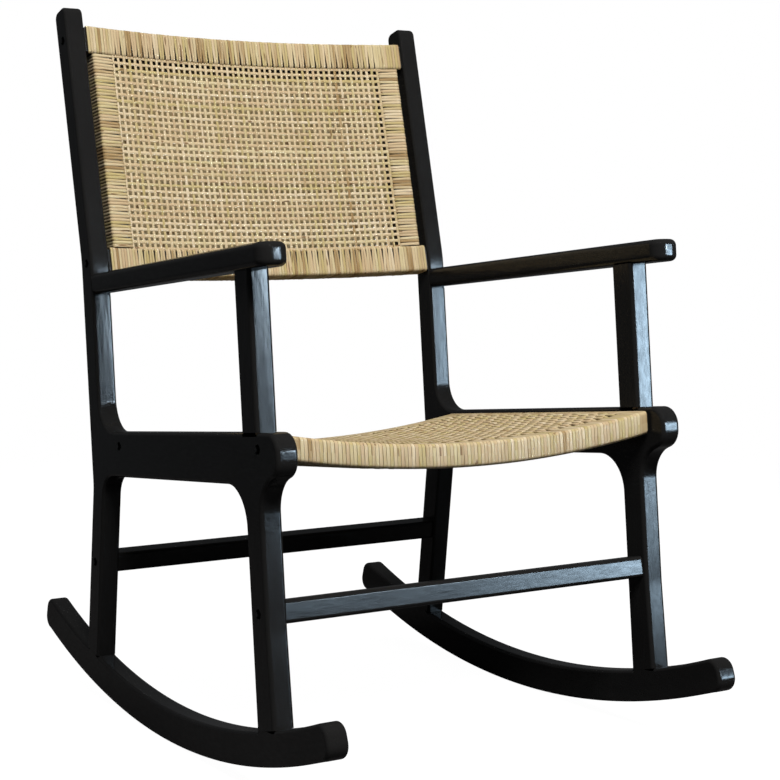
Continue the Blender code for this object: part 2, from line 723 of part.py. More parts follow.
UPRIGHT = (0, 0, 1)
LEVEL = (0, 1, 0)
ALONG_LEG = (0, -math.sin(REAR_LEG_SPLAY), math.cos(REAR_LEG_SPLAY))
DOWEL_MESH = rod_mesh("dowel", DOWEL_D / 2, DOWEL_L)
DOWEL_BORE = rod_mesh("dowel_bore", DOWEL_D / 2 + FIT, DOWEL_L + 2 * FIT)
DOWELLED = (
    ("arm_front", "armrest", "arm_post", (LEG_W / 2, ARM_RISE), UPRIGHT),
    ("arm_rear", "armrest", "rear_post", (POST_DEPTH, ARM_RISE + ARM_T / 2), LEVEL),
    ("arm_foot", "arm_post", "side_rail", (LEG_W / 2, 0), UPRIGHT),
    ("leg_head", "side_rail", "front_leg", (LEG_W / 2, -RAIL_H - RAIL_STUB), UPRIGHT),
    ("rail_rear", "side_rail", "rear_post", (POST_DEPTH - POST_STUB, -RAIL_DOWEL_DROP), LEVEL),
    ("front_foot", "front_leg", "rocker", (LEG_W / 2, rocker_top(LEG_W / 2)), UPRIGHT),
    ("rear_foot", "rear_post", "rocker", rear_foot(), ALONG_LEG),
)
for side_name, side in SIDES.items():
    for spot, first, second, at, direction in DOWELLED:
        name = f"{side_name}_{spot}_dowel"
        place = (side * FRAME_X, *at)
        turned_part(name, DOWEL_MESH, DOWEL_WOOD, FRAME_PLANE, place, direction)
        bore = turned_part(name + "_bore", DOWEL_BORE, DOWEL_WOOD, FRAME_PLANE, place, direction, CUTTERS)
        cut(FRAME_PIECES[side_name, first], bore)
        cut(FRAME_PIECES[side_name, second], bore)

bpy.context.view_layer.update()
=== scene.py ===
# %% [markdown]
# # A black rocking chair with a cane seat and back
# The chair has two lacquered side frames on rockers, and between them a woven seat and a double
# back of open cane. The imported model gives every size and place. This lesson dresses it: each board
# gets soft edges and lacquer, and the plain cane solids give way to strands that are really woven.

# %% Load the frame
import json
import math

import bpy
import numpy as np
from mathutils import Euler, Matrix, Vector


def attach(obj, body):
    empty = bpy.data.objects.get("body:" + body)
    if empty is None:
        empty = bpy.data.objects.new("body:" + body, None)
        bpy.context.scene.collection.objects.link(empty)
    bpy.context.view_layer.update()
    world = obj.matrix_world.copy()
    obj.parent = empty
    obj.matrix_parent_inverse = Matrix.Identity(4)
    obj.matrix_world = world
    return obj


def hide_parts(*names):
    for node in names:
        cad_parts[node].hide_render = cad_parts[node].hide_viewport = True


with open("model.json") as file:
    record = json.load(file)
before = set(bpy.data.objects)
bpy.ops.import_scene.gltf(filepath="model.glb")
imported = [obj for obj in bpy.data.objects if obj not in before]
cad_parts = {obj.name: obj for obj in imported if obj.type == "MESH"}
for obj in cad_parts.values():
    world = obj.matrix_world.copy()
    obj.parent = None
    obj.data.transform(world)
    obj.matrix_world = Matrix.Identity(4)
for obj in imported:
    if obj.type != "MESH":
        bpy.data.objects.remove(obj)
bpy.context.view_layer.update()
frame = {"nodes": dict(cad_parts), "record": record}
CHANCE = np.random.default_rng(11)
SIDES = {"left": 1, "right": -1}

# %% [markdown]
# ## The chair's own planes
# A side frame is drawn in the plane of its seat rail, as its maker would draw it: depth runs back
# from the front of the leg, and rise is square to the rail. The rockers' centre stands straight above
# the spot where they touch the floor, which the record gives, so that spot and the tilt place it all.

# %% Planes
SEAT_TILT = math.radians(5.0)
BACK_LEAN = math.radians(8.5)
INNER_WIDTH = 0.522
FRAME_T = 0.028
LEG_W = 0.0405
POST_W = 0.038
POST_DEPTH = 0.494
RAIL_H = 0.0612
BACK_BEND = 0.236
FRONT_LEG_LENGTH = 0.2828
ROCKER_R = 1.310
ROCKER_T = 0.0435
ROCKER_TAPER = 0.0068
ROCKER_CENTRE_DEPTH = 0.230
ROCKER_REST = 0.080
HALF_WIDTH = INNER_WIDTH / 2
FRAME_X = HALF_WIDTH + FRAME_T / 2

top_radius = ROCKER_R - ROCKER_T
top_depth = ROCKER_CENTRE_DEPTH - ROCKER_TAPER
top_centre = Vector((top_depth, -RAIL_H - FRONT_LEG_LENGTH + math.sqrt(
    top_radius ** 2 - (LEG_W / 2 - top_depth) ** 2)))
rocker_centre = top_centre + Vector((ROCKER_TAPER, 0))
touch_y = next(mount["pos_m"][1] for mount in frame["record"]["mounts"]
               if mount["name"] == "left_rocker_flat")
rest_height = math.sqrt(ROCKER_R ** 2 - (ROCKER_REST / 2) ** 2)
turned_centre = Matrix.Rotation(-SEAT_TILT, 4, "X") @ Vector((0, *rocker_centre))
SEAT_PLANE = Matrix.Translation(Vector((0, touch_y, rest_height)) - turned_centre)
SEAT_PLANE = SEAT_PLANE @ Matrix.Rotation(-SEAT_TILT, 4, "X")
BACK_PLANE = SEAT_PLANE @ Matrix.Translation((0, POST_DEPTH, BACK_BEND))
BACK_PLANE = BACK_PLANE @ Matrix.Rotation(-BACK_LEAN, 4, "X")
SIDE_ON = Euler((math.pi / 2, 0, math.pi / 2)).to_matrix().to_4x4()
print("seat plane starts at", [round(value, 4) for value in SEAT_PLANE.translation])

# %% [markdown]
# ## Camera
# The picture is taken from the front, on the sitter's right, from over two metres off. A long lens
# looks slightly down at the chair.

# %% Camera
LENS = 79.8
CAMERA_AT = (-1.151, -2.0477, 0.638)
CAMERA_TURN = math.radians(-30.554)
CAMERA_PITCH = math.radians(90 - 5.458)
CAMERA_SETTLE = math.radians(0.796)

camera_data = bpy.data.cameras.new("camera")
camera_data.lens = LENS
camera = bpy.data.objects.new("camera", camera_data)
bpy.context.scene.collection.objects.link(camera)
aim = Matrix.Rotation(CAMERA_SETTLE, 4, "X") @ Euler((CAMERA_PITCH, 0, CAMERA_TURN)).to_matrix().to_4x4()
camera.matrix_world = Matrix.Translation(CAMERA_AT) @ aim
bpy.context.scene.camera = camera
print("camera at", CAMERA_AT)

# %% [markdown]
# ## Shader maths in plain Python
# Materials here are sums and mixes of noise. Written node by node they are hard to read, so one small
# class wraps a socket: an expression on sockets adds its Math nodes, and `node` adds any other kind.

# %% A socket that does maths
class Wire:
    """A node's output that can be used in Python expressions."""

    def __init__(self, tree, socket=None):
        self.tree = tree
        self.socket = socket

    def node(self, kind, settings, sockets, out=0):
        """Add a node: settings first, then the values or links of its sockets."""
        made = self.tree.nodes.new(kind)
        for name, value in settings.items():
            if name == "stops":
                ramp = made.color_ramp.elements
                while len(ramp) < len(value):
                    ramp.new(1.0)
                for stop, (place, colour) in zip(ramp, value):
                    stop.position = place
                    stop.color = (*colour, 1.0)
            else:
                setattr(made, name, value)
        for name, value in sockets.items():
            if isinstance(value, Wire):
                self.tree.links.new(value.socket, made.inputs[name])
            else:
                made.inputs[name].default_value = value
        return Wire(self.tree, made.outputs[out])

    def maths(self, operation, first, second):
        return self.node("ShaderNodeMath", {"operation": operation}, {0: first, 1: second})

    def __add__(self, other):
        return self.maths("ADD", self, other)

    def __sub__(self, other):
        return self.maths("SUBTRACT", self, other)

    def __rsub__(self, other):
        return self.maths("SUBTRACT", other, self)

    def __mul__(self, other):
        return self.maths("MULTIPLY", self, other)

    __radd__ = __add__
    __rmul__ = __mul__

    def between(self, low, high):
        """0 below low, 1 above high and a smooth step from one to the other."""
        return self.node("ShaderNodeMapRange", {"interpolation_type": "SMOOTHSTEP"},
                         {"Value": self, "From Min": low, "From Max": high})

    def noise(self, where, scale, detail=2.0, rough=0.5):
        return self.node("ShaderNodeTexNoise", {}, {"Vector": where, "Scale": scale, "Detail": detail,
                                                    "Roughness": rough})

    def stretched(self, where, scale):
        return self.node("ShaderNodeMapping", {}, {"Vector": where, "Scale": scale})

    def blend(self, amount, first, second):
        """Mix of two colours."""
        first = first if isinstance(first, Wire) else (*first, 1.0)
        second = second if isinstance(second, Wire) else (*second, 1.0)
        return self.node("ShaderNodeMix", {"data_type": "RGBA"}, {0: amount, 6: first, 7: second}, 2)

    def ramp(self, value, stops):
        return self.node("ShaderNodeValToRGB", {"stops": stops}, {0: value})

    def attribute(self, name):
        return self.node("ShaderNodeAttribute", {"attribute_name": name}, {}, 2)

    def bump(self, height, strength, distance):
        return self.node("ShaderNodeBump", {}, {"Height": height, "Strength": strength,
                                                "Distance": distance})


def new_finish(name):
    """A material, the wire that starts its nodes, and a function that sets the shader's sockets."""
    material = bpy.data.materials.new(name)
    material.use_nodes = True
    tree = material.node_tree
    shader = tree.nodes["Principled BSDF"]

    def finish(**sockets):
        for socket, value in sockets.items():
            target = shader.inputs[socket.replace("_", " ")]
            if isinstance(value, Wire):
                tree.links.new(value.socket, target)
            else:
                target.default_value = value
        return material

    return Wire(tree), finish


# %% [markdown]
# ## Black lacquer
# The frame is sprayed with satin black lacquer. It is nearly colourless, so what shows is the sheen:
# a soft reflection that the wood's grain and the sprayed film break up a little. A thin clear coat
# lies on it unevenly. The grain runs along the board, so there are three finishes: for upright
# boards, for boards that run from front to back, and for bars that run across.

# %% Lacquer
LACQUER = (0.0080, 0.0080, 0.0082)
LACQUER_WORN = (0.0150, 0.0150, 0.0151)


def lacquer(name, grain):
    wire, finish = new_finish(name)
    where = wire.node("ShaderNodeTexCoord", {}, {}, 3)
    pores = wire.noise(wire.stretched(where, grain), 1.0, 3.0, 0.6)
    film = wire.noise(where, 160.0, 2.0)
    cloud = wire.noise(where, 14.0, 2.0)
    peel = wire.noise(wire.stretched(where, [0.2 * scale + 18.0 for scale in grain]), 1.0, 2.0)
    mottle = wire.noise(wire.stretched(where, [0.5 * scale + 60.0 for scale in grain]), 1.0, 3.0, 0.65)
    height = peel + pores * 0.12 + film * 0.07
    return finish(Base_Color=wire.blend(cloud * pores, LACQUER, LACQUER_WORN),
                  Roughness=0.13 + cloud * 0.05 + pores * 0.07,
                  Normal=wire.bump(height, 0.5, 0.0006),
                  Coat_Weight=mottle.between(0.35, 0.70) * (0.05 + 0.16 * cloud),
                  Specular_IOR_Level=0.14, Coat_Roughness=0.14)


LACQUER_UPRIGHT = lacquer("lacquer_upright", (420.0, 420.0, 16.0))
LACQUER_LEVEL = lacquer("lacquer_level", (420.0, 16.0, 420.0))
LACQUER_ACROSS = lacquer("lacquer_across", (16.0, 420.0, 420.0))
print("lacquer:", LACQUER_UPRIGHT.name, LACQUER_LEVEL.name, LACQUER_ACROSS.name)

# %% [markdown]
# ## Cane, core wood and steel
# Split cane varies from strand to strand: most are pale straw, some are pinkish, greenish or brown.
# Along a strand there are fine fibres, slow changes of tone and now and then a dark knot. Each point
# of a strand will carry three numbers, the strand's tone and the places along and across it, and the
# finish reads those. The side that lies on the bar is pith, which has one brown tone on all strands.
# That brown is partly the pith's own colour and partly painted shade: it is dark so that the rear net,
# seen through the holes of the front one, looks shaded.

# %% Cane and the hidden materials
STRAW_TONES = ((0.00, (0.53, 0.46, 0.34)), (0.15, (0.45, 0.365, 0.23)), (0.30, (0.39, 0.295, 0.18)),
               (0.45, (0.46, 0.395, 0.25)), (0.60, (0.36, 0.295, 0.135)), (0.75, (0.40, 0.325, 0.20)),
               (0.88, (0.26, 0.18, 0.085)), (1.00, (0.17, 0.105, 0.05)))
# Partly the pith's own brown, partly painted shade on the inner sides of all strands.
PITH_AND_SHADE_TONE = 0.78
KNOT = (0.13, 0.07, 0.03)
FIBRE_SHADE = (0.34, 0.22, 0.11)


def split_cane(name):
    wire, finish = new_finish(name)
    tone = wire.attribute("tone")
    along = wire.attribute("along")
    across = wire.attribute("across")
    where = wire.node("ShaderNodeCombineXYZ", {}, {0: along * 60.0, 1: across * 1.4, 2: tone * 90.0})
    slow = wire.noise(where, 0.35, 3.0, 0.6)
    fibres = wire.noise(wire.stretched(where, (0.12, 6.0, 1.0)), 1.0, 2.0, 0.6)
    knots = wire.noise(wire.stretched(where, (0.8, 0.6, 1.3)), 1.0, 0.0).between(0.755, 0.80)
    colour = wire.ramp(tone * 0.8 + slow * 0.45 - 0.14, STRAW_TONES)
    colour = wire.blend(fibres.between(0.45, 0.85) * 0.55, colour, FIBRE_SHADE)
    colour = wire.blend(slow.between(0.60, 0.80) * 0.35, colour, FIBRE_SHADE)
    colour = wire.blend(knots * 0.8, colour, KNOT)
    return finish(Base_Color=colour, Roughness=0.36 + fibres * 0.22,
                  Normal=wire.bump(fibres - knots * 0.6, 0.25, 0.0004),
                  Specular_IOR_Level=0.15)


def dark_wood(name, light, dark):
    wire, finish = new_finish(name)
    where = wire.node("ShaderNodeTexCoord", {}, {}, 3)
    grain = wire.noise(wire.stretched(where, (18.0, 300.0, 300.0)), 1.0, 4.0, 0.6)
    return finish(Base_Color=wire.blend(grain, dark, light), Roughness=0.5 + grain * 0.2,
                  Normal=wire.bump(grain, 0.2, 0.0004))


def blackened_steel(name):
    wire, finish = new_finish(name)
    where = wire.node("ShaderNodeTexCoord", {}, {}, 3)
    scuff = wire.noise(where, 900.0, 3.0)
    return finish(Base_Color=wire.blend(scuff, (0.03, 0.03, 0.032), (0.09, 0.09, 0.095)),
                  Metallic=1.0, Roughness=0.3 + scuff * 0.2, Normal=wire.bump(scuff, 0.1, 0.0002))


CANE = split_cane("split_cane")
CORE_WOOD = dark_wood("stained_core", (0.020, 0.018, 0.016), (0.009, 0.008, 0.007))
DOWEL_WOOD = dark_wood("dowel_wood", (0.62, 0.47, 0.30), (0.46, 0.32, 0.18))
STEEL = blackened_steel("blackened_steel")

for name, node in frame["nodes"].items():
    hidden = {"rail": CORE_WOOD, "bar": CORE_WOOD, "stile": CORE_WOOD, "dowel": DOWEL_WOOD}
    ending = name.rsplit("_", 1)[-1]
    if ending in hidden:
        node.data.materials.clear()
        node.data.materials.append(hidden[ending])
print("cane, core wood, dowel wood and steel are ready")

# %% [markdown]
# ## Working by hand in code
# Each piece starts from a primitive and is shaped in edit mode. A few helpers do what a hand does:
# pick one object, pick some of its edges, and set a finished piece in its place on the chair.

# %% Hands
SMOOTH_BELOW = math.radians(38)


def only(piece):
    bpy.ops.object.select_all(action="DESELECT")
    piece.select_set(True)
    bpy.context.view_layer.objects.active = piece


def fresh(name):
    """Take the primitive that was just added and give it its name."""
    piece = bpy.context.object
    piece.name = name
    piece.data.name = name
    return piece


def pick_edges(piece, wanted):
    """Stay in edit mode with only the edges selected whose two ends pass a test."""
    only(piece)
    bpy.ops.object.mode_set(mode="EDIT")
    bpy.ops.mesh.select_mode(type="EDGE")
    bpy.ops.mesh.select_all(action="DESELECT")
    bpy.ops.object.mode_set(mode="OBJECT")
    corners = piece.data.vertices
    for edge in piece.data.edges:
        first, second = edge.vertices
        edge.select = wanted(corners[first].co, corners[second].co)
    bpy.ops.object.mode_set(mode="EDIT")


def apply(piece, kind, **settings):
    """Add a modifier and apply it."""
    only(piece)
    modifier = piece.modifiers.new(kind.lower(), kind)
    for name, value in settings.items():
        setattr(modifier, name, value)
    bpy.ops.object.modifier_apply(modifier=modifier.name)


def smooth(piece):
    only(piece)
    bpy.ops.object.shade_smooth_by_angle(angle=SMOOTH_BELOW)
    apply(piece, "WEIGHTED_NORMAL", keep_sharp=True)


def dress(piece, slot, material, *nodes):
    """Give a finished piece its material, hang it on the root and hide the imported parts it stands for.
    """
    piece.data.materials.clear()
    piece.data.materials.append(material)
    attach(piece, "root")
    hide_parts(*nodes)
    return piece


# %% [markdown]
# ## Side frames: the boards' outlines
# The boards are sawn from 28 mm stock, so each is an outline with a thickness. An outline is a list of
# corners, each with the radius that rounds it. The last entry says whether the side after the corner
# is glued to another board: such a side keeps its sharp edges, so that two boards meet without a line.

# %% Rounded outlines
ARC_STEP = math.radians(5)


def rounded(corners):
    """Outline from (x, y, radius, glued) corners, and for each of its sides whether it is glued."""
    points, glued = [], []
    for index, (x, y, radius, joint) in enumerate(corners):
        here = Vector((x, y))
        before = (Vector(corners[index - 1][:2]) - here).normalized()
        after = (Vector(corners[(index + 1) % len(corners)][:2]) - here).normalized()
        if radius > 0:
            half = math.acos(max(-1.0, min(1.0, before.dot(after)))) / 2
            middle = here + (before + after).normalized() * (radius / math.sin(half))
            start = here + before * (radius / math.tan(half)) - middle
            sweep = math.copysign(math.pi - 2 * half, -before.cross(after))
            steps = max(2, math.ceil(abs(sweep) / ARC_STEP))
            points += [middle + Matrix.Rotation(sweep * k / steps, 2) @ start for k in range(steps + 1)]
            glued += [False] * (steps + 1)
        else:
            points.append(here)
            glued.append(False)
        glued[-1] = joint
    return points, glued


def on_arc(radius, angle):
    """Point of the rocker; the angle is from straight down, towards the back."""
    return rocker_centre + radius * Vector((math.sin(angle), -math.cos(angle)))


def rocker_top(depth):
    return top_centre.y - math.sqrt(top_radius ** 2 - (depth - top_centre.x) ** 2)


# %% Post, rail and leg outlines
NOSE_REACH = 0.049
NOSE_H = 0.048
NOSE_R = 0.024
NOSE_FALL = 0.014
NOSE_FILLET = 0.042
LEG_FILLET = 0.050
RAIL_STUB = 0.056
POST_STUB = 0.046
POST_FILLET_UP = 0.044
POST_FILLET_LOW = 0.036
BEND_R = 0.16
POST_LENGTH = 0.370
POST_TOP_R = 0.011
REAR_LEG_SPLAY = math.radians(13.3)
REAR_LEG_BEND = 0.072
REAR_LEG_LEAD = 0.003
REAR_LEG_R = 0.07
ARM_RISE = 0.1873
ARM_T = 0.0285
FOOT_FLARE = 0.004
FOOT_FLARE_H = 0.110
FOOT_FLARE_R = 0.300
SOLVE_STEPS = 8


def rear_foot(depth, rise):
    """Where an edge of the splayed rear leg that starts here meets the rocker's top."""
    spot = Vector((depth, rise))
    for _ in range(SOLVE_STEPS):
        low = rocker_top(spot.x)
        spot = Vector((depth + (rise - low) * math.tan(REAR_LEG_SPLAY), low))
    return spot


POST_REAR = POST_DEPTH + POST_W
LEG_BEND_REAR = -REAR_LEG_BEND - POST_W * math.tan(REAR_LEG_SPLAY / 2)
FOOT_FRONT = rear_foot(POST_DEPTH - REAR_LEG_LEAD, -REAR_LEG_BEND)
FOOT_REAR = rear_foot(POST_REAR, LEG_BEND_REAR)


def rear_post_outline():
    up = Vector((math.sin(BACK_LEAN), math.cos(BACK_LEAN)))
    top_front = Vector((POST_DEPTH, BACK_BEND)) + up * POST_LENGTH
    top_rear = top_front + POST_W * Vector((up.y, -up.x))
    stub = POST_DEPTH - POST_STUB
    leg_head = POST_DEPTH - REAR_LEG_LEAD + (RAIL_H - REAR_LEG_BEND) * math.tan(REAR_LEG_SPLAY)
    return rounded([
        (*FOOT_FRONT, 0, False),
        (leg_head, -RAIL_H, POST_FILLET_LOW, False),
        (stub, -RAIL_H, 0, True),
        (stub, 0, 0, False),
        (POST_DEPTH, 0, POST_FILLET_UP, False),
        (POST_DEPTH, ARM_RISE, 0, True),
        (POST_DEPTH, ARM_RISE + ARM_T, 0, False),
        (POST_DEPTH, BACK_BEND, BEND_R, False),
        (*top_front, POST_TOP_R, False),
        (*top_rear, POST_TOP_R, False),
        (POST_REAR, BACK_BEND + POST_W * math.tan(BACK_LEAN / 2), BEND_R, False),
        (POST_REAR, LEG_BEND_REAR, REAR_LEG_R, False),
        (*FOOT_REAR, 0, True),
    ])


def side_rail_outline():
    rear = POST_DEPTH - POST_STUB
    stub = -RAIL_H - RAIL_STUB
    return rounded([
        (rear, 0, 0, False),
        (LEG_W, 0, 0, True),
        (0, 0, 0, False),
        (-NOSE_REACH, 0, NOSE_R, False),
        (-NOSE_REACH, -NOSE_H, NOSE_R, False),
        (0, -NOSE_H - NOSE_FALL, NOSE_FILLET, False),
        (0, stub, 0, True),
        (LEG_W, stub, 0, False),
        (LEG_W, -RAIL_H, LEG_FILLET, False),
        (rear, -RAIL_H, 0, True),
    ])


def front_leg_outline():
    top = -RAIL_H - RAIL_STUB
    front = rocker_top(-FOOT_FLARE)
    return rounded([
        (0, top, 0, False),
        (0, front + FOOT_FLARE_H, FOOT_FLARE_R, False),
        (-FOOT_FLARE, front, 0, True),
        (LEG_W, rocker_top(LEG_W), 0, False),
        (LEG_W, top, 0, True),
    ])


def arm_post_outline():
    return rounded([(0, 0, 0, False), (0, ARM_RISE, 0, True), (LEG_W, ARM_RISE, 0, False),
                    (LEG_W, 0, 0, True)])


# %% Rocker outline
ROCKER_FRONT_REACH = 0.133
ROCKER_TIP_R = 0.017
ROCKER_REAR_REACH = 0.2255
ROCKER_STEPS = 48
TIP_STEPS = 10


def top_reach(angle):
    """Distance of the upper arc from the lower arc's centre: a rocker thickens to the rear."""
    nearer = -ROCKER_TAPER * math.sin(angle)
    return nearer + math.sqrt(top_radius ** 2 - ROCKER_TAPER ** 2 + nearer ** 2)


def rocker_outline():
    """Two arcs with blunt ends. The upper one stays sharp where a leg is glued to it."""
    middle_r = ROCKER_R - ROCKER_T / 2
    front = math.asin((-ROCKER_FRONT_REACH + ROCKER_T / 2 - rocker_centre.x) / middle_r)
    rear = math.asin((POST_REAR + ROCKER_REAR_REACH - ROCKER_T / 2 - rocker_centre.x) / middle_r)
    feet = [(-FOOT_FLARE, LEG_W), (FOOT_FRONT.x, FOOT_REAR.x)]
    turns = [front + (rear - front) * k / ROCKER_STEPS for k in range(ROCKER_STEPS + 1)]
    stops = [math.atan2(depth - rocker_centre.x, rocker_centre.y - rocker_top(depth))
             for foot in feet for depth in foot]
    upper = sorted([turn for turn in turns if min(abs(turn - stop) for stop in stops) > 0.004] + stops)

    def tip(angle, side):
        out = (on_arc(ROCKER_R, angle) - rocker_centre).normalized()
        along = side * Vector((-out.y, out.x))
        half = (ROCKER_R - top_reach(angle)) / 2
        inset = half - ROCKER_TIP_R
        corner = on_arc(ROCKER_R - half, angle) + along * inset
        turns = [math.pi / 2 * k / TIP_STEPS for k in range(TIP_STEPS + 1)]
        low = [corner + out * (inset + ROCKER_TIP_R * math.cos(turn))
               + along * ROCKER_TIP_R * math.sin(turn) for turn in turns]
        high = [corner - out * (inset + ROCKER_TIP_R * math.sin(turn))
                + along * ROCKER_TIP_R * math.cos(turn) for turn in turns]
        return low + high

    points = [on_arc(rest_height, turn) for turn in turns] + tip(rear, 1)
    points += [on_arc(top_reach(turn), turn) for turn in reversed(upper)] + tip(front, -1)[::-1]
    glued = []
    for index, point in enumerate(points):
        middle = (point + points[(index + 1) % len(points)]) / 2
        on_top = abs((middle - top_centre).length - top_radius) < 0.001
        glued.append(on_top and any(low < middle.x < high for low, high in feet))
    return points, glued


# %% [markdown]
# ## Side frames: sawing and easing
# A filled circle is the blank: its points are moved to the outline, the face is pulled up to the
# board's thickness, and the free edges are rounded over as with a router.

# %% Saw a board
EDGE_R = 0.0050
POST_EDGE_R = 0.0042
ROCKER_EDGE_R = 0.0046
EDGE_STEPS = 5


def saw(name, outline, thickness, place, edge):
    points, glued = outline
    bpy.ops.object.select_all(action="DESELECT")
    bpy.ops.mesh.primitive_circle_add(vertices=len(points), radius=1, fill_type="NGON")
    board = fresh(name)
    for corner, point in zip(board.data.vertices, points):
        corner.co = (*point, -thickness / 2)
    bpy.ops.object.mode_set(mode="EDIT")
    bpy.ops.mesh.select_all(action="SELECT")
    bpy.ops.mesh.extrude_region_move(TRANSFORM_OT_translate={"value": (0, 0, thickness)})
    bpy.ops.mesh.select_all(action="SELECT")
    bpy.ops.mesh.normals_make_consistent(inside=False)
    bpy.ops.object.mode_set(mode="OBJECT")
    kept = [(points[k] + points[(k + 1) % len(points)]) / 2 for k, joint in enumerate(glued) if joint]
    for level in (-1, 1):

        def free(first, second):
            middle = (first + second) / 2
            flat = abs(first.z - second.z) < 1e-6 and abs(middle.z - level * thickness / 2) < 1e-6
            return flat and all((middle.xy - spot).length > 1e-5 for spot in kept)

        pick_edges(board, free)
        bpy.ops.mesh.bevel(offset=edge, segments=EDGE_STEPS, affect="EDGES", clamp_overlap=False)
        bpy.ops.object.mode_set(mode="OBJECT")
    board.data.transform(place)
    return board


boards = {}
for side_name, side in SIDES.items():
    stand = SEAT_PLANE @ Matrix.Translation((side * FRAME_X, 0, 0)) @ SIDE_ON
    for part, outline in (("rear_post", rear_post_outline()), ("side_rail", side_rail_outline()),
                          ("front_leg", front_leg_outline()), ("arm_post", arm_post_outline()),
                          ("rocker", rocker_outline())):
        edge = {"rear_post": POST_EDGE_R, "rocker": ROCKER_EDGE_R}.get(part, EDGE_R)
        boards[side_name, part] = saw(f"{side_name}_{part}_board", outline, FRAME_T, stand, edge)
print("boards sawn:", len(boards))

# %% [markdown]
# ## Armrests
# An armrest is a flat bar, straight inside and flaring outwards to its rounded front. Its edges are
# softer than the frame's, since fingers curl round them. It falls to the back a little less than the
# side rail does, so it is turned about its nose.

# %% Armrests
ARM_OVERHANG = 0.056
ARM_FLARE = 0.012
ARM_TIP_R = 0.017
ARM_EDGE_R = 0.008
ARM_DROP = 0.00175
ARM_TILT = 0.0105

for side_name, side in SIDES.items():
    inner, outer = side * HALF_WIDTH, side * (HALF_WIDTH + FRAME_T)
    plan = rounded([
        (inner, POST_DEPTH, 0, False),
        (inner, -ARM_OVERHANG, ARM_TIP_R, False),
        (outer + side * ARM_FLARE, -ARM_OVERHANG, ARM_TIP_R, False),
        (outer, POST_DEPTH, 0, True),
    ])
    lie = SEAT_PLANE @ Matrix.Translation((0, -ARM_OVERHANG, ARM_RISE + ARM_T / 2 - ARM_DROP))
    lie = lie @ Matrix.Rotation(ARM_TILT, 4, "X") @ Matrix.Translation((0, ARM_OVERHANG, 0))
    boards[side_name, "armrest"] = saw(f"{side_name}_armrest_bar", plan, ARM_T, lie, ARM_EDGE_R)
print("armrests:", ARM_T, "thick")

# %% [markdown]
# ## Bolts and their holes
# Six screws on each side hold the cross members. Their heads lie deep in round holes, whose rims are
# broken with a touch of the countersink. One cutter bores them all, and one screw is copied to each.

# %% Where the bolts are
SEAT_MID = -0.019
SEAT_FRONT_AT = 0.0
SEAT_REAR_AT = 0.425
BACK_MID = 0.0165
BACK_FOOT = 0.0195
BACK_H = 0.3635
BACK_RAIL_H = 0.041
FRONT_STRETCHER_DROP = 0.209
REAR_STRETCHER_DROP = 0.183
FRONT_STRETCHER_AT = (LEG_W / 2, -FRONT_STRETCHER_DROP)
rear_leg_out = (REAR_STRETCHER_DROP - REAR_LEG_BEND) * math.tan(REAR_LEG_SPLAY)
rear_leg_front = POST_DEPTH - REAR_LEG_LEAD + rear_leg_out
rear_leg_w = (POST_W + REAR_LEG_LEAD) / math.cos(REAR_LEG_SPLAY)
REAR_STRETCHER_AT = (rear_leg_front + rear_leg_w / 2, -REAR_STRETCHER_DROP)
BOLTS = (
    ("back_top", "rear_post", BACK_PLANE, (BACK_MID, BACK_H - BACK_RAIL_H / 2 - BACK_FOOT)),
    ("back_bottom", "rear_post", BACK_PLANE, (BACK_MID, BACK_RAIL_H / 2 - BACK_FOOT)),
    ("seat_front", "side_rail", SEAT_PLANE, (SEAT_FRONT_AT, SEAT_MID)),
    ("seat_rear", "side_rail", SEAT_PLANE, (SEAT_REAR_AT, SEAT_MID)),
    ("front_stretcher", "front_leg", SEAT_PLANE, FRONT_STRETCHER_AT),
    ("rear_stretcher", "rear_post", SEAT_PLANE, REAR_STRETCHER_AT),
)
print("bolts on each side:", len(BOLTS))

# %% Bore the holes and model one bolt
HOLE_R = 0.00575
HOLE_DEPTH = 0.0075
RIM = 0.0006
PAST = 0.002
HEAD_R = 0.005
HEAD_H = 0.006
HEAD_EDGE = 0.0006
KEY_R = 0.0029
KEY_DEPTH = 0.003
SHANK_R = 0.003
SHANK_L = 0.046
ROUND_SIDES = 32


def extrude_cap(piece, height, rise, scale):
    """Pull the cap at this height further along Z and widen or narrow it."""
    pick_edges(piece, lambda first, second: min(first.z, second.z) > height - 1e-6)
    bpy.ops.mesh.extrude_region_move(TRANSFORM_OT_translate={"value": (0, 0, rise)})
    bpy.ops.transform.resize(value=(scale, scale, 1))
    bpy.ops.object.mode_set(mode="OBJECT")


def rod(name, radius, low, high, sides=ROUND_SIDES):
    bpy.ops.object.select_all(action="DESELECT")
    bpy.ops.mesh.primitive_cylinder_add(vertices=sides, radius=radius, depth=high - low)
    piece = fresh(name)
    piece.data.transform(Matrix.Translation((0, 0, (low + high) / 2)))
    return piece


cutter = rod("hole_cutter", HOLE_R, -HOLE_DEPTH, -RIM)
extrude_cap(cutter, -RIM, RIM, 1 + RIM / HOLE_R)
extrude_cap(cutter, 0, PAST, 1)

bolt = rod("bolt", SHANK_R, -HOLE_DEPTH - SHANK_L, -HOLE_DEPTH)
extrude_cap(bolt, -HOLE_DEPTH, 0, HEAD_R / SHANK_R)
extrude_cap(bolt, -HOLE_DEPTH, HEAD_H - HEAD_EDGE, 1)
extrude_cap(bolt, HEAD_H - HOLE_DEPTH - HEAD_EDGE, HEAD_EDGE, 1 - HEAD_EDGE / HEAD_R)
key = rod("key_cutter", KEY_R, HEAD_H - HOLE_DEPTH - KEY_DEPTH, PAST, 6)
apply(bolt, "BOOLEAN", operation="DIFFERENCE", object=key)
smooth(bolt)

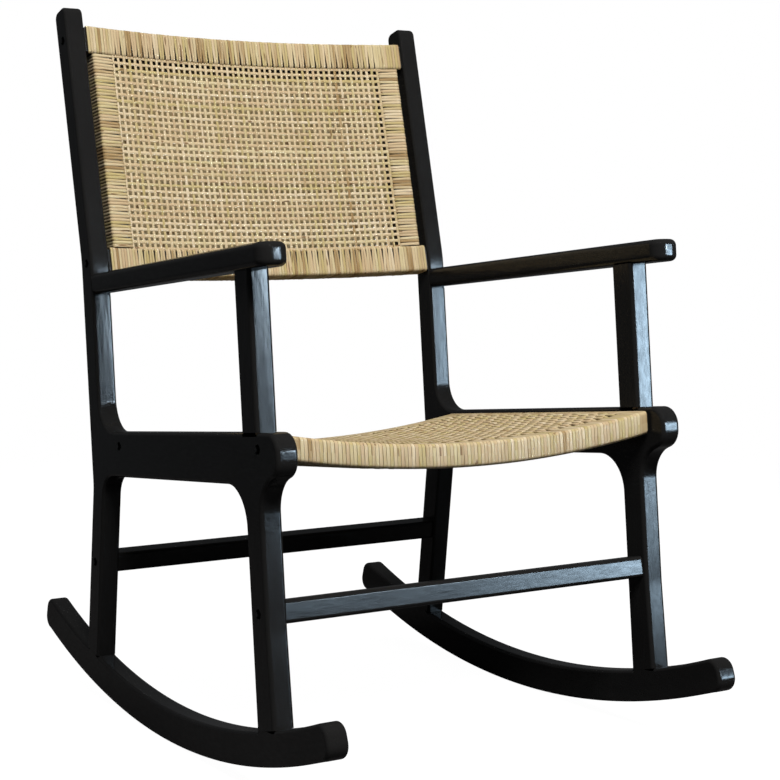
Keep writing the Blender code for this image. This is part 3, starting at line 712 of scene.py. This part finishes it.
for side_name, side in SIDES.items():
    for spot, part, plane, at in BOLTS:
        out = Euler((0, side * math.pi / 2, 0)).to_matrix().to_4x4()
        place = plane @ Matrix.Translation((side * (HALF_WIDTH + FRAME_T), *at)) @ out
        cutter.matrix_world = place
        bpy.context.view_layer.update()
        apply(boards[side_name, part], "BOOLEAN", operation="DIFFERENCE", object=cutter)
        copy = bpy.data.objects.new(f"{side_name}_{spot}_screw", bolt.data.copy())
        bpy.context.scene.collection.objects.link(copy)
        copy.data.transform(place)
        dress(copy, "bolt_steel", STEEL, f"{side_name}_{spot}_bolt")
for tool in (cutter, key, bolt):
    bpy.data.objects.remove(tool)
print("holes and bolts:", 2 * len(BOLTS))

# %% Lacquer the side frames
for (side_name, part), board in boards.items():
    smooth(board)
    level = part in ("side_rail", "armrest", "rocker")
    dress(board, "black_lacquer", LACQUER_LEVEL if level else LACQUER_UPRIGHT, f"{side_name}_{part}")
print("lacquered boards:", len(boards))

# %% [markdown]
# ## Stretchers
# Two plain bars tie the legs together. Each is a cube of the bar's size whose four long edges are
# rounded. Its ends run square into the frames. The front bar leans a little, and the rear bar stands
# square to the splayed legs.

# %% Stretchers
STRETCHER_H = 0.0275
STRETCHER_D = 0.029
STRETCHER_R = 0.005
FRONT_STRETCHER_LEAN = -0.07

for name, at, lean in (("front", FRONT_STRETCHER_AT, FRONT_STRETCHER_LEAN),
                       ("rear", REAR_STRETCHER_AT, REAR_LEG_SPLAY)):
    bpy.ops.object.select_all(action="DESELECT")
    bpy.ops.mesh.primitive_cube_add(size=1)
    bar = fresh(f"{name}_stretcher_bar")
    bar.data.transform(Matrix.Diagonal((INNER_WIDTH, STRETCHER_D, STRETCHER_H, 1)))
    pick_edges(bar, lambda first, second: abs(first.x - second.x) > STRETCHER_D)
    bpy.ops.mesh.bevel(offset=STRETCHER_R, segments=6, affect="EDGES")
    bpy.ops.object.mode_set(mode="OBJECT")
    bar.data.transform(SEAT_PLANE @ Matrix.Translation((0, *at)) @ Matrix.Rotation(lean, 4, "X"))
    smooth(bar)
    dress(bar, "black_lacquer", LACQUER_ACROSS, f"{name}_stretcher")
print("stretchers:", INNER_WIDTH, "long")

# %% [markdown]
# ## A strand of cane
# All the cane on this chair is one thing, a long flat strand with a rounded face. It is modelled once:
# a cylinder of few sides, one unit long, one wide and one thick, cut across many times so that it can
# bend. Weaving is then only a rule that says where each point of each copy goes.

# %% The blank strand
STRAND_SIDES = 6


def strand_blank(cuts, shoulder=0.34):
    """Points and faces of a strand along X, cut into this many lengths, its face this wide each way."""
    bpy.ops.object.select_all(action="DESELECT")
    bpy.ops.mesh.primitive_cylinder_add(vertices=STRAND_SIDES, radius=0.5, depth=1)
    blank = fresh("strand_blank")
    blank.data.transform(Matrix.Rotation(math.pi / 2, 4, "Y"))
    pick_edges(blank, lambda first, second: abs(first.x - second.x) > 0.5)
    bpy.ops.mesh.subdivide(number_cuts=cuts - 1)
    bpy.ops.object.mode_set(mode="OBJECT")
    points = np.array([corner.co for corner in blank.data.vertices])
    faces = [tuple(face.vertices) for face in blank.data.polygons]
    bpy.data.objects.remove(blank)
    across = np.where(np.abs(points[:, 2]) > 0.2, np.sign(points[:, 1]) * shoulder, points[:, 1])
    return {"t": points[:, 0] + 0.5, "across": across, "up": points[:, 2], "faces": faces}


class Weaving:
    """Copies of a blank strand, laid one by one and then made one mesh."""

    def __init__(self, blank, pale=1.3, crease=75):
        self.blank = blank
        self.pale = pale
        self.crease = crease
        self.points = []
        self.tones = []
        self.lengths = []

    def lay(self, points, length, tone=None):
        self.points.append(points)
        self.tones.append(CHANCE.random() ** self.pale if tone is None else tone)
        self.lengths.append(length)

    def tie(self, name, slot_nodes):
        size = len(self.blank["t"])
        count = len(self.points)
        faces = [tuple(corner + size * k for corner in face)
                 for k in range(count) for face in self.blank["faces"]]
        mesh = bpy.data.meshes.new(name)
        mesh.from_pydata(np.concatenate(self.points).tolist(), [], faces)
        starts = CHANCE.random(count) * 5
        along = np.concatenate([start + self.blank["t"] * length
                                for start, length in zip(starts, self.lengths)])
        # The inner side of each strand gets the pith tone, which also paints shade there.
        pith_and_shade_side = np.tile(self.blank["up"] < -0.2, count)
        tones = np.where(pith_and_shade_side, PITH_AND_SHADE_TONE, np.repeat(self.tones, size))
        for label, values in (("tone", tones), ("along", along),
                              ("across", np.tile(self.blank["across"], count))):
            carried = mesh.attributes.new(label, "FLOAT", "POINT")
            carried.data.foreach_set("value", values.astype(np.float32))
        piece = bpy.data.objects.new(name, mesh)
        bpy.context.scene.collection.objects.link(piece)
        only(piece)
        bpy.ops.object.mode_set(mode="EDIT")
        bpy.ops.mesh.select_all(action="SELECT")
        bpy.ops.mesh.normals_make_consistent(inside=False)
        bpy.ops.object.mode_set(mode="OBJECT")
        bpy.ops.object.shade_smooth_by_angle(angle=math.radians(self.crease))
        print(name, "strands:", count, "faces:", len(faces))
        return dress(piece, "rattan_cane", CANE, *slot_nodes)


def placed(plane, x, y, z):
    """Points of a plane as points of the chair."""
    turn = np.array(plane)
    return np.stack([x, y, z], axis=1) @ turn[:3, :3].T + turn[:3, 3]


def dip(bow, x):
    return bow * (1 - (x / HALF_WIDTH) ** 2)


# %% [markdown]
# ## The back's open net
# The back has two layers of open cane, one in front and one behind, 49 holes wide and 30 high. The
# strands go over and under each other in turn, so a strand's height is a cosine along its length. The
# net is woven flat and laid on the bow of the back as its last step. The rear net has wider strands
# and is shifted a little, so that it shows through the holes of the front one.

# %% Open net
BACK_BOW = 0.024
BACK_T = 0.032
STILE_W = 0.033
STILE_OUTER = HALF_WIDTH - 0.0095
STILE_INNER = STILE_OUTER - STILE_W
NET_COLUMNS = 49
NET_ROWS = 30
NET_SINK = 0.0035
UPRIGHT_W = {"front": 0.0040, "rear": 0.0066}
LEVEL_W = {"front": 0.0046, "rear": 0.0068}
STRAND_T = 0.0014
WEAVE_LIFT = 0.0005
NET_TUCK = 0.006
NET_STEPS = 4
REAR_SHIFT = (-0.0011, 0.0029)
NET_PALE = 1.6

back_low = BACK_RAIL_H - BACK_FOOT
back_high = BACK_H - BACK_RAIL_H - BACK_FOOT
column_pitch = 2 * STILE_INNER / NET_COLUMNS
row_pitch = (back_high - back_low) / NET_ROWS
COLUMNS = [-STILE_INNER + column_pitch * k for k in range(NET_COLUMNS + 1)]
ROWS = [back_low + row_pitch * k for k in range(NET_ROWS + 1)]


def on_back(face, x, rise, height):
    """Points of a layer of the back: face is -1 in front and 1 behind, height stands out of it."""
    back = BACK_MID + dip(BACK_BOW, x) + face * (BACK_T / 2 - NET_SINK + height)
    return placed(BACK_PLANE, x, back, rise)


def wander(t, size):
    """A strand never lies quite straight: a slow bend that differs from strand to strand."""
    first, second = CHANCE.random(2) * 2 * math.pi
    return size * (np.sin(5 * t + first) + 0.6 * np.sin(13 * t + second))


for layer, face, (shift_x, shift_rise) in (("front", -1, (0, 0)), ("rear", 1, REAR_SHIFT)):
    uprights = Weaving(strand_blank(NET_ROWS * NET_STEPS), NET_PALE)
    blank = uprights.blank
    for k, x in enumerate(COLUMNS):
        rise = back_low - NET_TUCK + blank["t"] * (back_high - back_low + 2 * NET_TUCK)
        wave = WEAVE_LIFT * (-1) ** k * np.cos(math.pi * (rise - back_low - shift_rise) / row_pitch)
        width = UPRIGHT_W[layer] * CHANCE.uniform(0.9, 1.1)
        spread = x + shift_x + wander(blank["t"], 0.00025) + blank["across"] * width
        uprights.lay(on_back(face, spread, rise, wave + blank["up"] * STRAND_T), back_high - back_low)
    levels = Weaving(strand_blank(NET_COLUMNS * NET_STEPS), NET_PALE)
    blank = levels.blank
    for k, rise in enumerate(ROWS):
        x = (blank["t"] - 0.5) * 2 * (STILE_INNER + NET_TUCK)
        wave = -WEAVE_LIFT * (-1) ** k * np.cos(math.pi * (x + STILE_INNER - shift_x) / column_pitch)
        width = LEVEL_W[layer] * CHANCE.uniform(0.9, 1.1)
        spread = rise + shift_rise + wander(blank["t"], 0.0003) + blank["across"] * width
        levels.lay(on_back(face, x, spread, wave + blank["up"] * STRAND_T), 2 * STILE_INNER)
    uprights.tie(f"back_{layer}_uprights", [f"back_{layer}_cane"])
    levels.tie(f"back_{layer}_levels", [f"back_{layer}_cane"])

# %% [markdown]
# ## Windings on the back's bars
# The net's strands end by running round the rails and stiles. Two strips share each strand of the net
# and cover the bar, and where they draw together towards the net they leave wedge-shaped slits, long
# and short in turn, with the black bar behind. A strip follows a path round three sides of the bar.
# Neighbours are often cut from one cane, so the tone changes only now and then.

# %% The path round a bar
BAR_FOLD = 0.005
STRIP_T = 0.0016
FOLD_STEPS = 5
FLAT_STEP = 0.006
STRIP_FILL = 0.955
STRIP_SHOULDER = 0.36
STRIP_CREASE = 50
NEW_CANE = 0.6
STRIP_JITTER = 0.22


def wound_path(width, depth):
    """Stations round a bar: place away from the net, place back from the front, and outward turn."""
    near, far = BAR_FOLD, width - BAR_FOLD
    front, rear = BAR_FOLD, depth - BAR_FOLD
    stations = []
    for centre, first in (((near, front), math.pi), ((far, front), 1.5 * math.pi),
                          ((far, rear), 0.0), ((near, rear), 0.5 * math.pi)):
        for step in range(FOLD_STEPS + 1):
            turn = first + math.pi / 2 * step / FOLD_STEPS
            spoke = Vector((math.cos(turn), math.sin(turn)))
            spot = Vector(centre) + BAR_FOLD * spoke
            if stations and step == 0:
                last = Vector(stations[-1][:2])
                flats = round((spot - last).length / FLAT_STEP)
                stations += [(*last.lerp(spot, k / flats), *spoke) for k in range(1, flats)]
            stations.append((*spot, *spoke))
    return np.array(stations[1:-1])


def bar_strips(weaving, path, edges, slits, drift, plane_point):
    """Lay strips side by side along a bar; slits gives the opening between neighbours."""
    blank = weaving.blank
    station = np.rint(blank["t"] * (len(path) - 1)).astype(int)
    away, back, out_away, out_back = path[station].T
    walked = np.concatenate([[0], np.cumsum(np.linalg.norm(np.diff(path[:, :2], axis=0), axis=1))])
    from_net = np.minimum(walked, walked[-1] - walked)[station]
    round_bar = np.clip((back - BAR_FOLD) / (back.max() - 2 * BAR_FOLD), 0, 1)
    tone = 0.5
    for k in range(len(edges) - 1):
        if CHANCE.random() < NEW_CANE:
            tone = CHANCE.random() ** 0.9
        (low_open, low_long), (high_open, high_long) = slits[k], slits[k + 1]
        low = edges[k] + low_open * np.clip(1 - from_net / low_long, 0, 1)
        high = edges[k + 1] - high_open * np.clip(1 - from_net / high_long, 0, 1)
        lift = blank["up"] * STRIP_T - STRIP_T / 2 + CHANCE.uniform(-0.00025, 0.00025)
        place = (low + high) / 2 + blank["across"] * (high - low) * STRIP_FILL + drift * round_bar
        weaving.lay(plane_point(place, away + out_away * lift, back + out_back * lift), walked[-1],
                    np.clip(tone + CHANCE.uniform(-STRIP_JITTER, STRIP_JITTER), 0, 1))


# %% Wind the rails
CANE_HALF = HALF_WIDTH - 0.0035
END_STRIPS = 9
SEAM = (0.0, 0.01)
LONG_SLIT = (0.0014, 0.030)
SHORT_SLIT = (0.0010, 0.021)


def slits_between(holes):
    """Slits at the holes of the net, long and short in turn, and closed seams between them."""
    made = []
    for k in range(holes):
        made += [SEAM, LONG_SLIT if k % 2 else SHORT_SLIT]
    return made + [SEAM]


half_pitch = column_pitch / 2
net_edges = [-STILE_INNER + half_pitch * k for k in range(2 * NET_COLUMNS + 1)]
end_pitch = (CANE_HALF - STILE_INNER) / END_STRIPS
left_end = [-CANE_HALF + end_pitch * k for k in range(END_STRIPS)]
right_end = [STILE_INNER + end_pitch * (k + 1) for k in range(END_STRIPS)]
rail_edges = left_end + net_edges + right_end
rail_slits = [SEAM] * END_STRIPS + slits_between(NET_COLUMNS) + [SEAM] * END_STRIPS
rail_path = wound_path(BACK_RAIL_H, BACK_T)
for level, start, turn in (("top", back_high, 1), ("bottom", back_low, -1)):
    strips = Weaving(strand_blank(len(rail_path) - 1, STRIP_SHOULDER), crease=STRIP_CREASE)

    def rail_point(x, away, back):
        return placed(BACK_PLANE, x, BACK_MID - BACK_T / 2 + dip(BACK_BOW, x) + back, start + turn * away)

    bar_strips(strips, rail_path, rail_edges, rail_slits, REAR_SHIFT[0], rail_point)
    strips.tie(f"back_{level}_rail_strips", [f"back_{level}_winding"])

# %% Wind the stiles
STILE_LONG = (0.0009, 0.028)
STILE_SHORT = (0.0006, 0.018)

stile_edges = [back_low + row_pitch / 2 * k for k in range(2 * NET_ROWS + 1)]
stile_slits = []
for k in range(NET_ROWS):
    stile_slits += [SEAM, STILE_LONG if k % 2 else STILE_SHORT]
stile_slits.append(SEAM)
stile_path = wound_path(STILE_W, BACK_T)
for side_name, side in SIDES.items():
    strips = Weaving(strand_blank(len(stile_path) - 1, STRIP_SHOULDER), crease=STRIP_CREASE)

    def stile_point(rise, away, back):
        x = side * (STILE_INNER + away)
        return placed(BACK_PLANE, x, BACK_MID - BACK_T / 2 + dip(BACK_BOW, x) + back, rise)

    bar_strips(strips, stile_path, stile_edges, stile_slits, REAR_SHIFT[1], stile_point)
    strips.tie(f"back_{side_name}_stile_strips", [f"back_{side_name}_winding"])

# %% [markdown]
# ## The woven seat
# The seat is a sleeve of cane round a frame of bars, dished across its width. Strands run from front
# to back over both rails, and broad ones cross them from side to side, over two and under two, each
# row one strand further on. That is a twill, and it gives the seat its diagonal ribs. Near the rails
# the strands lie flat and close together, and they dive into the weave over half a row.

# %% Seat weave
SEAT_BOW = 0.024
SEAT_T = 0.030
SEAT_FRONT = -0.023
SEAT_REAR = 0.448
SEAT_FOLD = 0.005
WARP_COUNT = 100
END_STRIP_W = 0.012
WEFT_PITCH = 0.0145
PLAIN_EDGE = 0.053
SEAT_STRAND_T = 0.0018
TWILL_LIFT = 0.0025
TWILL_STEP = 1.5
WARP_STEP = 3
STRAND_FILL = 0.98
WOVEN_FILL = 0.94
DIVE_AHEAD = 1.3
DIVE_LENGTH = 0.5
SEAT_STRAND_L = 0.55
END_TONE = 0.9
FLAT_LEVEL = SEAT_T / 2 - SEAT_STRAND_T / 2
WOVEN_LEVEL = FLAT_LEVEL - 0.6 * TWILL_LIFT

warp_half = CANE_HALF - END_STRIP_W
warp_pitch = 2 * warp_half / WARP_COUNT
weft_count = round((SEAT_REAR - SEAT_FRONT - 2 * PLAIN_EDGE) / WEFT_PITCH)
weft_start = SEAT_FRONT + PLAIN_EDGE
weft_end = weft_start + weft_count * WEFT_PITCH


def twill(warp, weft):
    """Height of a strand from front to back where it crosses: over two bands, then under two."""
    return TWILL_LIFT * np.cos(math.pi / 2 * (warp + weft - 0.5))


def seat_stations():
    """Depth, level and outward turn of a flat strand from the rear face over the top to the front."""
    radius = SEAT_FOLD - SEAT_STRAND_T / 2
    front, rear = SEAT_FRONT + SEAT_STRAND_T / 2, SEAT_REAR - SEAT_STRAND_T / 2
    turns = np.linspace(0, math.pi / 2, FOLD_STEPS + 1)
    cos, sin = np.cos(turns), np.sin(turns)
    low = FLAT_LEVEL - radius
    rows = [np.array([[rear, 0.0, 1.0, 0.0]])]
    rows.append(np.stack([rear - radius + radius * cos, low + radius * sin, cos, sin], axis=1))
    flat = np.linspace(weft_end + 2 * WEFT_PITCH, weft_start - 2 * WEFT_PITCH,
                       round((weft_count + 4) * WARP_STEP) + 1)
    rows.append(np.stack([flat, 0 * flat + FLAT_LEVEL, 0 * flat, 0 * flat + 1], axis=1))
    rows.append(np.stack([front + radius - radius * sin, low + radius * cos, -sin, cos], axis=1))
    rows.append(np.array([[front, 0.0, -1.0, 0.0]]))
    return np.concatenate(rows)


def on_seat(face, x, depth, height):
    """Points of the seat: face is 1 on top and -1 below."""
    return placed(SEAT_PLANE, x, depth, SEAT_MID - dip(SEAT_BOW, x) + face * height)


SEAT_PATH = seat_stations()
WARP_TONES = CHANCE.random(WARP_COUNT) ** 1.2
for layer, face in (("top", 1), ("under", -1)):
    warps = Weaving(strand_blank(len(SEAT_PATH) - 1, 0.45), crease=50)
    blank = warps.blank
    station = np.rint(blank["t"] * (len(SEAT_PATH) - 1)).astype(int)
    depth, level, out_depth, out_level = SEAT_PATH[station].T
    weft = (depth - weft_start) / WEFT_PITCH
    woven = np.clip((np.minimum(weft, weft_count - weft) + DIVE_AHEAD) / DIVE_LENGTH, 0, 1)
    lift = blank["up"] * SEAT_STRAND_T
    for k in range(WARP_COUNT):
        x = -warp_half + warp_pitch * (k + 0.5) + wander(blank["t"], 0.00012)
        width = warp_pitch * (STRAND_FILL + woven * (WOVEN_FILL - STRAND_FILL))
        height = level + woven * (WOVEN_LEVEL - FLAT_LEVEL + twill(k, weft)) + out_level * lift
        warps.lay(on_seat(face, x + blank["across"] * width, depth + out_depth * lift, height),
                  SEAT_STRAND_L, WARP_TONES[k])
    for side in SIDES.values():
        x = side * (CANE_HALF - END_STRIP_W / 2) + blank["across"] * END_STRIP_W
        warps.lay(on_seat(face, x, depth + out_depth * lift, level + out_level * lift),
                  SEAT_STRAND_L, END_TONE)
    warps.tie(f"seat_{layer}_warps", ["seat_weave"])

    wefts = Weaving(strand_blank(round(WARP_COUNT * TWILL_STEP), 0.42))
    blank = wefts.blank
    x = (blank["t"] * 2 - 1) * (warp_half + 0.002)
    warp = (x + warp_half) / warp_pitch - 0.5
    for k in range(weft_count + 1):
        width = WEFT_PITCH * WOVEN_FILL * CHANCE.uniform(0.93, 1.07)
        depth = weft_start + k * WEFT_PITCH + blank["across"] * width + wander(blank["t"], 0.00012)
        height = WOVEN_LEVEL - twill(warp, k) + blank["up"] * SEAT_STRAND_T
        wefts.lay(on_seat(face, x, depth, height), 2 * warp_half)
    wefts.tie(f"seat_{layer}_wefts", ["seat_weave"])

# %% [markdown]
# ## Floor and light
# The chair stands in a white studio, on a pale floor that fades out into a white world. Both are white
# to the eye alone and dark in the lacquer, which needs something dark to reflect. A soft key light
# above and a soft fill behind light the surfaces and don't show in the lacquer. Four cool windows in
# front, on the sitter's left, only show as reflections. A grid keeps their light narrow, and a flag
# keeps it off two pieces whose tops would glare white from behind.

# %% Floor
FLOOR_R = 6.0
FLOOR_FADE = (1.2, 3.2)

bpy.ops.object.select_all(action="DESELECT")
bpy.ops.mesh.primitive_circle_add(vertices=64, radius=FLOOR_R, fill_type="NGON")
floor = fresh("floor")
paint = bpy.data.materials.new("pale_floor")
paint.use_nodes = True
wire = Wire(paint.node_tree)
place = wire.node("ShaderNodeTexCoord", {}, {}, 3)
reach = wire.node("ShaderNodeVectorMath", {"operation": "LENGTH"}, {0: place}, 1)
seen = wire.node("ShaderNodeLightPath", {}, {}, 0)
matt = wire.node("ShaderNodeBsdfDiffuse", {}, {"Color": (0.06, 0.06, 0.062, 1.0)})
glow = wire.node("ShaderNodeEmission", {}, {"Color": (1.0, 1.0, 1.0, 1.0), "Strength": 0.985})
lit = wire.node("ShaderNodeAddShader", {}, {0: matt, 1: glow})
shown = wire.node("ShaderNodeMixShader", {}, {0: seen, 1: matt, 2: lit})
clear = wire.node("ShaderNodeBsdfTransparent", {}, {})
faded = wire.node("ShaderNodeMixShader", {}, {0: reach.between(*FLOOR_FADE), 1: shown, 2: clear})
paint.node_tree.links.new(faded.socket, paint.node_tree.nodes["Material Output"].inputs[0])
floor.data.materials.append(paint)
print("floor:", FLOOR_R, "in radius")

# %% White world
bpy.context.scene.view_settings.view_transform = "Standard"
world = bpy.data.worlds.new("studio")
bpy.context.scene.world = world
world.use_nodes = True
sky = Wire(world.node_tree)
seen = sky.node("ShaderNodeLightPath", {}, {}, 0)
dim = sky.node("ShaderNodeBackground", {}, {"Color": (0.9, 0.95, 1.0, 1.0), "Strength": 0.06})
white = sky.node("ShaderNodeBackground", {}, {"Color": (1.0, 1.0, 1.0, 1.0), "Strength": 1.0})
mixed = sky.node("ShaderNodeMixShader", {}, {0: seen, 1: dim, 2: white})
world.node_tree.links.new(mixed.socket, world.node_tree.nodes["World Output"].inputs[0])
print("world:", world.name)

# %% Lights
CHAIR_MIDDLE = Vector((0.0, 0.0, 0.5))
GRID_SPREAD = math.radians(26.0)
FLAGGED = ("right_rocker_board", "rear_stretcher_bar")
LIGHTS = (
    ("key", (-0.4, -2.4, 3.4), (2.0, 1.4), 270.0, (1.0, 0.97, 0.93)),
    ("fill", (0.6, 3.2, 2.2), (2.0, 1.4), 60.0, (1.0, 0.97, 0.93)),
    ("window", (2.48, -3.0, 0.74), (1.05, 1.30), 2.5, (0.58, 0.80, 1.0)),
    ("window_core", (2.56, -2.98, 0.80), (0.5, 0.7), 0.85, (0.58, 0.80, 1.0)),
    ("window_side", (1.45, -3.02, 0.70), (0.85, 0.75), 0.40, (0.58, 0.80, 1.0)),
    ("window_pane", (1.56, -2.98, 1.12), (0.70, 0.24), 1.8, (0.66, 0.84, 1.0)),
)

flag = bpy.data.collections.new("flagged_from_windows")
for piece in FLAGGED:
    flag.objects.link(bpy.data.objects[piece])
for entry in flag.collection_objects:
    entry.light_linking.link_state = "EXCLUDE"

for name, at, size, power, colour in LIGHTS:
    lamp = bpy.data.lights.new(name, "AREA")
    lamp.shape = "RECTANGLE"
    lamp.size, lamp.size_y = size
    lamp.energy = power
    lamp.color = colour
    stand = bpy.data.objects.new(name, lamp)
    bpy.context.scene.collection.objects.link(stand)
    stand.location = at
    soft = name in ("key", "fill")
    lamp.spread = math.pi if soft else GRID_SPREAD
    stand.visible_glossy = not soft
    stand.visible_diffuse = soft
    if not soft:
        stand.light_linking.receiver_collection = flag
    stand.rotation_euler = (CHAIR_MIDDLE - Vector(at)).to_track_quat("-Z", "Y").to_euler()
print("lights:", len(LIGHTS))

# %% [markdown]
# ## The end
# The last cell only prints a line to say that the script has run to its end.

# %% End
print("the scene is built")
